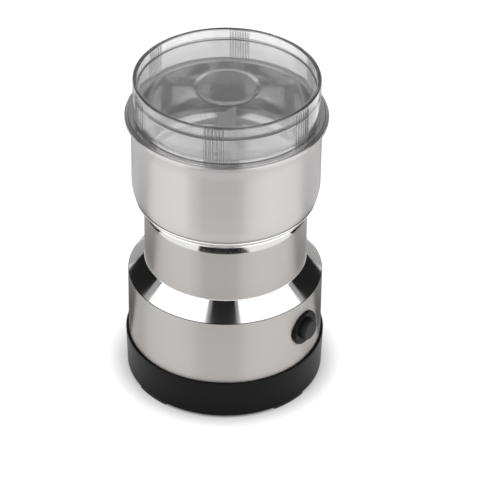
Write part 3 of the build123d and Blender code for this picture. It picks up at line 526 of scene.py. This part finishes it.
def flared(start, end, count):
    """Points on a parabola: each goes up by its share of the height and out by the share's square."""
    share = np.linspace(0, 1, count)
    out, up = np.subtract(end, start)
    return np.stack([start[0] + share ** 2 * out, start[1] + share * up], axis=1)


foot_curve = arc_points((cup_radius - cup_round, cup_round_top), cup_round, cup_foot_angle, 0, count=9)
flare_curve = flared((cup_radius, lip_bottom - flare_height), (lip_seat_radius, lip_bottom), count=9)
cup_steel = brushed("cup_steel", (0.575, 0.553, 0.555), (0.609, 0.587, 0.589), 0.345)
turned("cup_drawn", [
    (cup_start, cup_bottom, 0),
    (*foot_curve[0], cup_foot_round),
    *curve_rows(foot_curve[1:]),
    *curve_rows(flare_curve[:-1]),
    (*flare_curve[-1], flare_round),
    (lip_radius, lip_bottom, lip_round),
    (lip_radius, cup_top, lip_round),
    (lip_seat_radius, cup_top, seat_edge_round),
    (lip_seat_radius, lip_seat, seat_corner_round),
    (cup_inner_radius, lip_seat, seat_edge_round),
    (cup_inner_radius, cup_round_top, 0),
    (cup_foot_radius - shell_wall, cup_inner_bottom, cup_floor_round),
    (throat_radius, cup_inner_bottom, throat_round),
    (throat_radius, cup_bottom, throat_round),
    (cup_start, cup_bottom, 0)], cup_steel, "upper_housing", cup_turns)

# Grinding bowl: deep drawn in thin steel, with a flange that lies in the cup's lip and a low bead round its
# mouth. Its inside is buffed, then hazed by use, and a hole in its floor lets the carrier's post through.
bowl_radius = 42.3 * mm
bowl_outer = bowl_radius + bowl_wall
bowl_flange_gap = 0.1 * mm
bowl_flange_radius = lip_seat_radius - bowl_flange_gap
bowl_floor = 118.0 * mm
bowl_underside = bowl_floor - bowl_wall
bowl_corner = 8.0 * mm
bowl_corner_centre = (bowl_radius - bowl_corner, bowl_floor + bowl_corner)
bowl_hole = 10.0 * mm
bowl_start = 20.0 * mm
bowl_edge_round = 0.3 * mm
bead_top = 151.2 * mm
bead_round = 0.44 * mm
bead_foot_round = 0.6 * mm
bowl_steel = polished("bowl_steel", (0.60, 0.595, 0.59), (0.66, 0.655, 0.65), 0.075)
turned("bowl_drawn", [
    (bowl_start, bowl_underside, 0),
    *curve_rows(arc_points(bowl_corner_centre, bowl_corner + bowl_wall, -90, 0, count=17)),
    (bowl_outer, lip_seat, bowl_edge_round),
    (bowl_flange_radius, lip_seat, bowl_edge_round),
    (bowl_flange_radius, cup_top, bowl_edge_round),
    (bowl_outer, cup_top, bead_foot_round),
    (bowl_outer, bead_top, bead_round),
    (bowl_radius, bead_top, bead_round),
    *curve_rows(arc_points(bowl_corner_centre, bowl_corner, 0, -90, count=17)),
    (bowl_hole, bowl_floor, bowl_edge_round),
    (bowl_hole, bowl_underside, bowl_edge_round),
    (bowl_start, bowl_underside, 0)], bowl_steel, "grinding_bowl")

# Motor carrier, cooling fan and the switch's plunger: grey glass-filled nylon, dull, with flow lines.
# The carrier stands on the cup's floor and hangs the motor from its sleeve, hidden by the steel.
grey_nylon = moulded("grey_nylon", (0.16, 0.16, 0.165), (0.20, 0.20, 0.205), 0.48, grain=900, depth=0.02 * mm)
dress(grey_nylon, "motor_carrier", "cooling_fan", "switch_plunger")

# Blade, its hub and its cap nut: a pressed stainless cross with bent tips, on a brass bush under a nut.
# The blade is linished along its arms, so it is duller than the bowl, and the nut is a little shinier.
# The brush holders and the switch's tabs are brass as well.
blade_steel = plain_metal("blade_steel", (0.58, 0.58, 0.585), (0.68, 0.68, 0.685), 0.24, (90, 90, 500))
dress(blade_steel, "blade")
nut_steel = plain_metal("nut_steel", (0.62, 0.62, 0.62), (0.70, 0.70, 0.70), 0.18, (200, 200, 200))
dress(nut_steel, "blade_nut")
hub_brass = plain_metal("hub_brass", (0.62, 0.45, 0.19), (0.72, 0.54, 0.26), 0.28)
dress(hub_brass, "blade_hub", "brush_holders", "switch_terminals")

# Motor's iron: stacks of thin electrical steel for armature and field, blued and lightly oiled.
# The edges of the sheets show as fine lines across the axis.
iron = Finish("lamination_iron")
iron_patches = iron.noise((140, 140, 140), 4.0, 0.6)
iron_sheets = iron.noise((20, 20, 2000), 0.0)
lamination_iron = iron.surface({
    "Base Color": iron.tint(iron_patches, (0.13, 0.135, 0.15), (0.22, 0.22, 0.23)),
    "Metallic": 0.9,
    "Roughness": 0.38 + 0.2 * iron_patches,
    "Normal": iron.bump(iron_sheets, 0.8, 0.05 * mm),
})
dress(lamination_iron, "armature_core", "field_stack")

# Windings: enamelled copper wire, a quarter of a millimetre thick, laid in the slots and dipped in
# varnish. The strands run side by side, glossy under the varnish, their colour darker in the grooves between
# them.
wire = Finish("wound_copper")
wire_strands = wire.node("ShaderNodeTexWave", {"bands_direction": "DIAGONAL"},
                         {"Vector": wire.places(), "Scale": 1300.0, "Distortion": 2.0, "Detail": 2.0})
wire_varnish = wire.noise((180, 180, 180), 3.0)
wire_tone = 0.7 * wire_strands + 0.3 * wire_varnish
wound_copper = wire.surface({
    "Base Color": wire.tint(wire_tone, (0.16, 0.055, 0.02), (0.52, 0.22, 0.09)),
    "Metallic": 0.8,
    "Roughness": 0.25 + 0.2 * wire_varnish,
    "Normal": wire.bump(wire_strands, 0.9, 0.12 * mm),
    "Coat Weight": 0.5,
})
dress(wound_copper, "armature_windings", "field_coils")

# Commutator, brushes and springs: turned copper bars, two blocks of carbon, and tempered steel wire.
# The brushes leave a dark track round the copper and take its curve themselves.
copper = Finish("commutator_copper")
copper_track = copper.noise((60, 60, 2500), 3.0, 0.6)
commutator_copper = copper.surface({
    "Base Color": copper.tint(copper_track, (0.30, 0.13, 0.07), (0.72, 0.36, 0.22)),
    "Metallic": 1.0,
    "Roughness": 0.22 + 0.2 * copper_track,
    "Normal": copper.bump(copper_track, 0.4, 0.01 * mm),
})
dress(commutator_copper, "commutator")
carbon = Finish("brush_carbon")
carbon_grain = carbon.noise((1800, 1800, 1800), 4.0, 0.7)
brush_carbon = carbon.surface({
    "Base Color": carbon.tint(carbon_grain, (0.015, 0.015, 0.016), (0.045, 0.045, 0.047)),
    "Roughness": 0.55 + 0.2 * carbon_grain,
    "Normal": carbon.bump(carbon_grain, 0.6, 0.02 * mm),
})
dress(brush_carbon, "carbon_brushes")
spring_wire = plain_metal("spring_wire", (0.40, 0.40, 0.41), (0.55, 0.55, 0.56), 0.3, (900, 900, 900))
dress(spring_wire, "brush_springs", "button_spring")

# Brackets and bearings: die-cast aluminium bars with sintered bronze bushes, and a zinc-plated switch
# bracket. Castings have a fine frosted skin, and the bronze is porous and soaked in oil.
cast_aluminium = plain_metal("cast_aluminium", (0.50, 0.51, 0.52), (0.62, 0.63, 0.64), 0.42,
                             (700, 700, 700), 0.02 * mm)
dress(cast_aluminium, "upper_bracket", "lower_bracket")
bush_bronze = plain_metal("bush_bronze", (0.36, 0.24, 0.13), (0.48, 0.33, 0.19), 0.45,
                          (1500, 1500, 1500), 0.015 * mm)
dress(bush_bronze, "upper_bearing", "lower_bearing")
bracket_zinc = plain_metal("bracket_zinc", (0.52, 0.52, 0.50), (0.64, 0.64, 0.60), 0.36, (120, 120, 120))
dress(bracket_zinc, "switch_bracket")

# Button and its bezel: a black cap with a rounded edge, in a black collar shaped to the body's wall.
# Both are moulded; the button's face is duller and a little paler than its collar.
button_black = moulded("button_black", (0.010, 0.010, 0.0105), (0.016, 0.016, 0.0165), 0.4,
                       grain=1800, gloss=0.16)
dress(button_black, "button")
bezel_black = moulded("bezel_black", (0.005, 0.005, 0.005), (0.008, 0.008, 0.008), 0.3, gloss=0.08)
dress(bezel_black, "button_bezel")

# Lid: one clear moulded cap, with a sunk top panel, a raised disc on it and six groups of grip ribs.
# Polished styrene, faintly smoky, with painted shade at its top rim, round the panel's corner and on the
# ribs' flanks, where tight curves bend the light away. The gate's nub stays in the middle of the disc.
lid_top = 170.0 * mm
lid_radius = 45.3 * mm
lid_inner = 43.8 * mm
lid_foot_round = 0.3 * mm
rim_inner = 43.2 * mm
rim_round = 0.75 * mm
panel_top = 164.2 * mm
panel_bottom = 162.6 * mm
panel_round = 0.5 * mm
ceiling_round = 0.8 * mm
disc_radius = 16.2 * mm
disc_slope = 2.4 * mm
disc_edge = disc_radius - disc_slope
disc_height = 0.4 * mm
disc_top = panel_top + disc_height
disc_foot_round = 1.2 * mm
disc_edge_round = 1.5 * mm
nub_radius = 0.7 * mm
nub_foot = 0.9 * mm
nub_height = 0.4 * mm
nub_top = disc_top + nub_height
nub_round = 0.1 * mm
lid_step = 3.0 * mm
lid_turns = 180
rib_groups = 6
ribs_in_group = 6
rib_group_azimuth = math.radians(-7.7)
rib_pitch = 1.7 * mm
rib_radius = 0.55 * mm
rib_inset = 0.8 * mm
rib_runout = 0.5 * mm
rib_columns = 11
rib_spread = 0.85
frost_rise = 0.1 * mm
# Where the painted shade lies: round the panel's corner, on the ribs' flanks and at the top rim
corner_drop = 0.2 * mm
corner_half_height = 0.6 * mm
corner_width = 0.5 * mm
flank_place = 0.23
flank_half_width = 0.09
flank_depth = 0.2 * mm
rim_depth = 0.7 * mm


def axis_solid(name, points, material, body, node):
    """A solid whose path starts and ends on the axis: each end is one point, in a fan of triangles."""
    turns = len(points)
    walls = points[:, 1:-1]
    columns = walls.shape[1]
    low, high = turns * columns, turns * columns + 1
    i = np.arange(turns)
    next_i = (i + 1) % turns
    quads = grid_quads(turns, columns, True, False)
    first = np.stack([np.full(turns, low), next_i * columns, i * columns], axis=1)
    last = np.stack([np.full(turns, high), (i + 1) * columns - 1, (next_i + 1) * columns - 1], axis=1)
    every = np.concatenate([walls.reshape(-1, 3), points[:1, 0], points[:1, -1]])
    piece(name, every, quads.tolist() + first.tolist() + last.tolist(), [material], body, node)


lid_path = spaced(eased([
    (0, panel_bottom, 0),
    (lid_inner, panel_bottom, ceiling_round),
    (lid_inner, cup_top, lid_foot_round),
    (lid_radius, cup_top, lid_foot_round),
    (lid_radius, lid_top, rim_round),
    (rim_inner, lid_top, rim_round),
    (rim_inner, panel_top, panel_round),
    (disc_radius, panel_top, disc_foot_round),
    (disc_edge, disc_top, disc_edge_round),
    (nub_foot, disc_top, nub_round),
    (nub_radius, nub_top, nub_round),
    (0, nub_top, 0)]), lid_step)
group_places = np.arange(rib_groups)[:, None] * math.radians(360 / rib_groups)
places_in_group = (np.arange(ribs_in_group)[None, :] - (ribs_in_group - 1) / 2) * rib_pitch / lid_radius
rib_azimuths = (group_places + places_in_group + rib_group_azimuth).ravel()
rib_fine = np.linspace(-rib_spread, rib_spread, rib_columns) * rib_pitch / 2 / lid_radius
lid_angles = np.unique(np.round(np.concatenate([
    (rib_azimuths[:, None] + rib_fine).ravel() % (2 * math.pi), full_turn(lid_turns)]), 5))
from_ribs = (lid_angles[:, None] - rib_azimuths + math.pi) % (2 * math.pi) - math.pi
nearest = abs(from_ribs).min(axis=1) * lid_radius
rib_height = np.sqrt(np.clip(rib_radius ** 2 - nearest ** 2, 0, None))
from_end = np.minimum(lid_path[:, 1] - cup_top, lid_top - lid_path[:, 1]) - rib_inset
rib_share = np.clip(from_end / rib_runout, 0, 1) * np.isclose(lid_path[:, 0], lid_radius)
lid_points = round_axis(lid_path, lid_angles)
lid_points[..., :2] *= (1 + rib_height[:, None] * rib_share / lid_radius)[..., None]

# The masks are 1 on the disc's frosted face, and where shade is painted: panel's corner, ribs' flanks, top
# rim
clear = Finish("clear_styrene")
clear_haze = clear.noise((45, 45, 45), 3.0)
clear_x, clear_y, clear_z = (clear.along(axis) for axis in "XYZ")
clear_reach = clear.math("SQRT", clear_x * clear_x + clear_y * clear_y)
clear_frost = (clear_reach < disc_edge) * (clear_z > panel_top + frost_rise)
clear_corner_painted_shade = (clear.math("COMPARE", clear_z, panel_top - corner_drop, corner_half_height)
                * (clear_reach > rim_inner - corner_width))

# Round the wall, the angle is counted in rib pitches, from the middle of the nearest group
pitches = lid_radius / rib_pitch
half_group = math.radians(180 / rib_groups) * pitches
clear_turn = (clear.math("ARCTAN2", clear_x, -clear_y) - rib_group_azimuth) * pitches
clear_rib = clear.math("WRAP", clear_turn, half_group, -half_group)
clear_between = abs(clear.math("WRAP", clear_rib, 0.5, -0.5))
clear_flank_painted_shade = (clear.math("COMPARE", clear_rib, 0.0, ribs_in_group / 2)
               * clear.math("COMPARE", clear_between, flank_place, flank_half_width)
               * (clear_reach > lid_radius - flank_depth))
clear_painted_shade = clear.math("MAXIMUM", clear.math("MAXIMUM", clear_corner_painted_shade, clear_flank_painted_shade),
                        clear_z > lid_top - rim_depth)
# The tone is the styrene's faint smoke, and 0 where shade is painted, which gives the dark colour
clear_smoke_and_painted_shade = (0.93 + 0.07 * clear_haze) * (1.0 - clear_painted_shade)
clear_styrene = clear.surface({
    "Base Color": clear.tint(clear_smoke_and_painted_shade, (0.30, 0.303, 0.31), (0.95, 0.951, 0.953)),
    "Roughness": 0.015 + 0.03 * clear_haze + 0.14 * clear_frost,
    "IOR": 1.59,
    "Transmission Weight": 0.94,
    "Coat Weight": 0.7,
    "Coat Roughness": 0.02,
    "Coat IOR": 1.8,
    "Normal": clear.bump(clear_haze, 0.08, 0.05 * mm),
})
axis_solid("lid_clear", lid_points, clear_styrene, "lid", "lid")


# Table: a pale paper top, with a soft dark contact shadow painted into its colour and glow by ambient
# occlusion where the grinder stands on it. It glows for the camera and in reflections, so that the ground
# comes out white without more light on the grinder.
floor_reach = 6.0
contact_reach = 14 * mm


def stage_piece(name, points, quads, material, unseen_by=()):
    """A floor, flag or apron, which isn't part of the grinder. The kinds of ray named don't see it."""
    made = new_object(name, points, quads, [material])
    for ray in unseen_by:
        setattr(made, "visible_" + ray, False)


paper = Finish("table_paper")
seen_by_camera = paper.node("ShaderNodeLightPath", out="Is Camera Ray")
seen_by_gloss = paper.node("ShaderNodeLightPath", out="Is Glossy Ray")
# Ambient occlusion paints the contact shadow into the paper's colour and its glow
contact_shadow_paint = paper.node("ShaderNodeAmbientOcclusion", {"samples": 16}, {"Distance": contact_reach}, out="AO")
paper_grey_with_painted_shadow = paper.tint(contact_shadow_paint, (0.07, 0.07, 0.07), (0.56, 0.56, 0.56))
paper_diffuse = paper.node("ShaderNodeBsdfDiffuse", {}, {"Color": paper_grey_with_painted_shadow})
paper_glow_with_painted_shadow = paper.node("ShaderNodeEmission", {}, {
    "Color": paper.tint(contact_shadow_paint, (0.0, 0.0, 0.0), (1.0, 1.0, 1.0)),
    "Strength": 0.76 * seen_by_camera + 0.66 * seen_by_gloss})
paper_both = paper.node("ShaderNodeAddShader", {}, {0: paper_diffuse, 1: paper_glow_with_painted_shadow})
paper.node("ShaderNodeOutputMaterial", {}, {"Surface": paper_both})
floor_corners = np.array([(-1, -1, 0), (1, -1, 0), (1, 1, 0), (-1, 1, 0)]) * floor_reach
stage_piece("table", floor_corners, [(0, 1, 2, 3)], paper.material)


# Flags and aprons: dark cloths that stand round the table, with grey ones behind them that soften their
# edges, and felts that lie on it. Only reflections see them: they draw the dark bands in steel and lid.
flag_radius = 2.6
edge_radius = 2.65
card_columns = 25
felt_height = 0.5 * mm


def cloth(name, shade, rough, gloss):
    """Cloth or felt of one grey, which is all that a reflection shows of it."""
    return Finish(name).surface({"Base Color": (shade, shade, shade, 1), "Roughness": rough,
                                 "Specular IOR Level": gloss})


def arc_card(name, material, radius, first, last, low, high):
    """An upright card bent round the table: azimuths from first to last in degrees, facing the middle."""
    t = np.radians(np.linspace(first, last, card_columns))
    foot = np.stack([radius * np.sin(t), -radius * np.cos(t), np.full(card_columns, low)], axis=1)
    points = np.stack([foot, foot + [0, 0, high - low]])
    quads = grid_quads(2, card_columns, False, False).tolist()
    stage_piece(name, points, quads, material, ("camera", "transmission", "diffuse"))


def apron_card(name, material, radii, firsts, lasts):
    """A card lying on the table: at each radius it runs between two azimuths, in degrees."""
    share = np.linspace(0, 1, card_columns)[None, :]
    t = np.radians(np.array(firsts)[:, None] * (1 - share) + np.array(lasts)[:, None] * share)
    radii = np.array(radii)[:, None]
    points = np.stack([radii * np.sin(t), -radii * np.cos(t), np.full(t.shape, felt_height)], axis=2)
    quads = grid_quads(len(radii), card_columns, False, False).tolist()
    stage_piece(name, points, quads, material, ("camera", "transmission", "diffuse", "shadow"))


black_cloth = cloth("flag_cloth", 0.03, 0.9, 0.1)
side_cloth = cloth("side_cloth", 0.02, 0.9, 0.1)
grey_cloth = cloth("grey_cloth", 0.6, 0.9, 0.1)
arc_card("flag_front_low", side_cloth, flag_radius, -34.0, 19.0, 0.0, 0.35)
arc_card("flag_front", black_cloth, flag_radius, -19.5, 15.5, 1.5, 8.0)
arc_card("flag_left", side_cloth, flag_radius, -142.0, -102.5, 0.0, 8.0)
arc_card("flag_right", side_cloth, flag_radius, 100.5, 142.0, 0.0, 8.0)
arc_card("edge_front", grey_cloth, edge_radius, -24.5, 20.5, 1.5, 8.0)
arc_card("edge_left", grey_cloth, edge_radius, -144.0, -96.5, 0.0, 8.0)
arc_card("edge_right", grey_cloth, edge_radius, 94.5, 144.0, 0.0, 8.0)
grey_felt = cloth("apron_grey", 0.55, 0.95, 0.0)
black_felt = cloth("apron_felt", 0.01, 0.95, 0.0)
apron_card("apron_back", grey_felt, (0.18, 0.6, 5.0), (140.0, 140.0, 140.0), (220.0, 220.0, 220.0))
apron_card("apron_front", black_felt, (0.36, 1.2, 2.6), (-45.0, -38.0, -34.0), (42.0, 21.0, 19.0))
apron_card("apron_left", black_felt, (0.07, 0.16), (-174.0, -174.0), (-105.0, -105.0))
apron_card("apron_right", black_felt, (0.07, 0.15), (105.0, 105.0), (152.0, 152.0))


# Lights: two tall soft boxes at the left and right front, a low one in front and a low one behind, and a
# dim white room. Their powers follow from how bright they look in the steel.
def stand(name, data, right, up, back, spot):
    """A lamp or camera at this spot, with its own X, Y and Z along right, up and back."""
    made = bpy.data.objects.new(name, data)
    bpy.context.scene.collection.objects.link(made)
    place = np.eye(4)
    place[:3] = np.stack([right, up, back, spot], axis=1)
    made.matrix_world = Matrix(place.tolist())
    return made


def softbox(name, azimuth, distance, width, low, high, radiance):
    """An upright soft box that faces the grinder: its power is its radiance times pi times its area."""
    lamp = bpy.data.lights.new(name, "AREA")
    lamp.shape = "RECTANGLE"
    lamp.size, lamp.size_y = width, high - low
    lamp.energy = radiance * math.pi * width * (high - low)
    a = math.radians(azimuth)
    out = np.array([math.sin(a), -math.cos(a), 0])
    spot = distance * out + np.array([0, 0, (low + high) / 2])
    stand(name, lamp, (math.cos(a), math.sin(a), 0), (0, 0, 1), out, spot).visible_camera = False


softbox("softbox_left", -60, 3.0, 4.2, 0.05, 7.0, 1.35)
softbox("softbox_right", 56.5, 3.0, 4.9, 0.05, 7.0, 1.35)
softbox("softbox_front", -2, 2.62, 1.84, 0.35, 1.5, 1.7)
softbox("softbox_back", 180, 3.5, 3.6, 0.05, 1.8, 0.75)
room = bpy.data.worlds.new("studio")
room.use_nodes = True
room.node_tree.nodes["Background"].inputs["Color"].default_value = (1, 1, 1, 1)
room.node_tree.nodes["Background"].inputs["Strength"].default_value = 0.35
bpy.context.scene.world = room

# Camera: at the photograph's angle, a long lens about a metre and a half away.
# Its place, its aim and its lens come from the ellipses of the base, the cup and the lid.
eye = np.array([0.0, -1.15914, 0.91078])
aim = np.array([0.01227, 0.0, 0.06772])
roll = math.radians(0.942)
lens_in_pixels = 2874.0
frame_in_pixels = 500
sensor_width = 36.0
ahead = (aim - eye) / np.linalg.norm(aim - eye)
level_right = np.cross(ahead, [0, 0, 1])
level_right /= np.linalg.norm(level_right)
level_up = np.cross(level_right, ahead)
view_right = math.cos(roll) * level_right + math.sin(roll) * level_up
view_up = -math.sin(roll) * level_right + math.cos(roll) * level_up
camera = bpy.data.cameras.new("camera")
camera.sensor_width = sensor_width
camera.lens = lens_in_pixels / frame_in_pixels * sensor_width
camera.clip_start, camera.clip_end = 0.1, 50.0
bpy.context.scene.camera = stand("camera", camera, view_right, view_up, -ahead, eye)
bpy.context.scene.view_settings.view_transform = "Standard"
